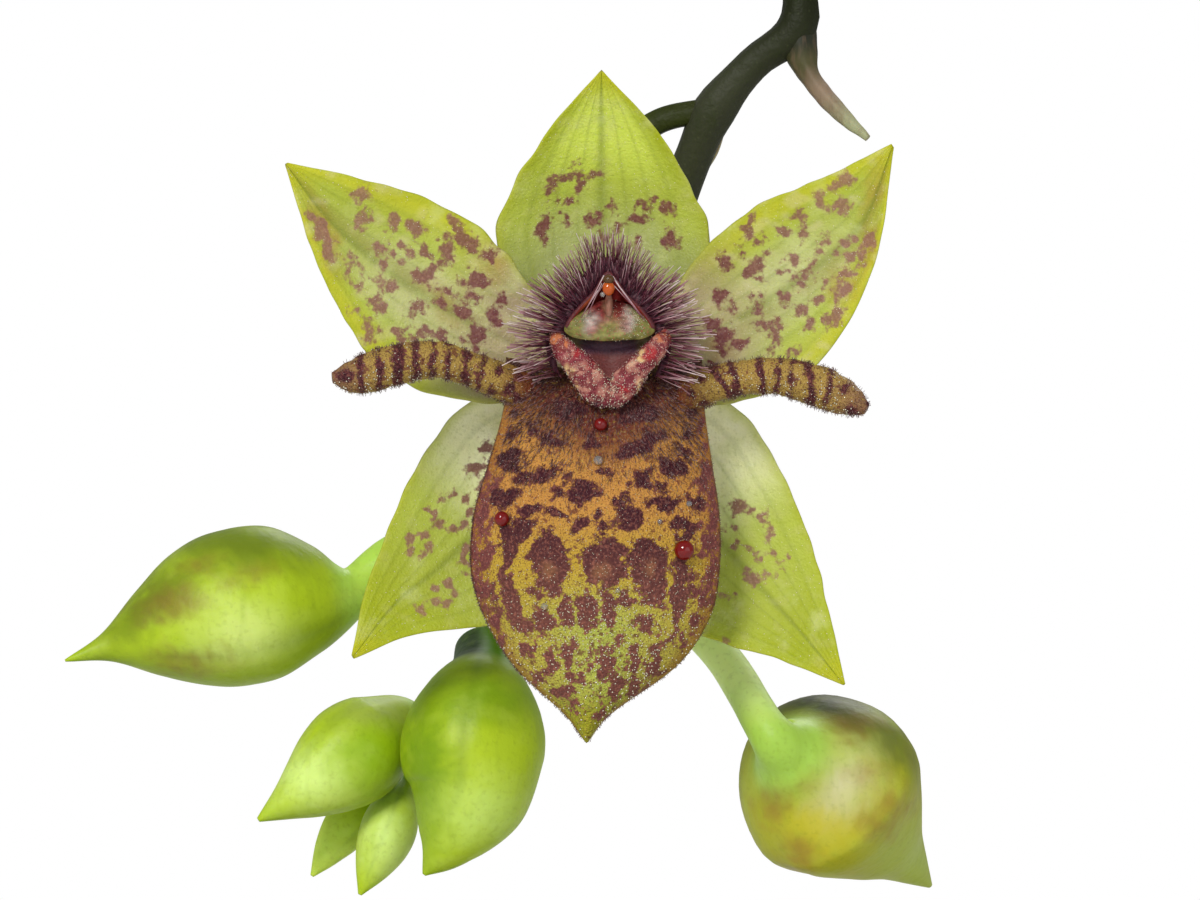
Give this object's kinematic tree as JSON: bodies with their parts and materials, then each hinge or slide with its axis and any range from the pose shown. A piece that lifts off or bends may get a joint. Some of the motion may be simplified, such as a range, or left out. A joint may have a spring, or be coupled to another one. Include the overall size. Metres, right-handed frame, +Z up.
{
  "type": "potted fly orchid plant",
  "caption": "Small potted orchid with fleshy leaves and a thin arching stem that nods, bearing an insect-like flower and buds.",
  "frame": {"origin": "centre of the pot's flat foot, on the surface it stands on", "axes": "+Z up, -Y the side that the open flower faces, +X to the right as seen from the front"},
  "size_m": [0.086, 0.086, 0.2015],
  "materials": {
    "clay": "unglazed terracotta with pale lime marks",
    "bark": "rough conifer bark chips",
    "rhizome": "olive plant tissue with papery sheaths",
    "root": "matt silvery root skin with a green tip",
    "leaf": "fleshy satin leaf",
    "bulb": "satin ribbed pseudobulb",
    "stem": "satin dark green stem",
    "bract": "papery drying scale",
    "ovary": "satin green stalk",
    "sepal": "soft yellow-green with mauve spots",
    "petal": "soft yellow-green with maroon blotches",
    "lip": "ochre with maroon spots and bands, papillose",
    "column": "waxy pink and cream",
    "anther": "glossy orange",
    "bristle": "dark maroon bristles with pale tips",
    "bud": "smooth bright green with olive blotches"
  },
  "bodies": {
    "root": {"pot": "clay", "bark_mix": "bark", "rhizome": "rhizome", "root_1": "root", "root_2": "root", "root_3": "root", "root_4": "root", "leaf_fan_1": "leaf", "leaf_fan_2": "leaf", "leaf_fan_3": "leaf", "leaf_fan_4": "leaf", "new_shoot": "leaf", "pseudobulb_1": "bulb", "pseudobulb_2": "bulb", "pseudobulb_3": "bulb", "pseudobulb_4": "bulb", "flower_stem": "stem", "spent_bract": "bract", "open_bract": "bract", "left_bract": "bract", "right_bract": "bract", "ovary": "ovary", "dorsal_sepal": "sepal", "left_sepal": "sepal", "right_sepal": "sepal", "left_petal": "petal", "right_petal": "petal", "lip": "lip", "column": "column", "anther_cap": "anther", "bristle_crown": "bristle", "left_bud": "bud", "right_bud": "bud", "big_bud": "bud", "middle_bud": "bud", "small_bud": "bud", "tip_bud": "bud"}
  },
  "joints": []
}
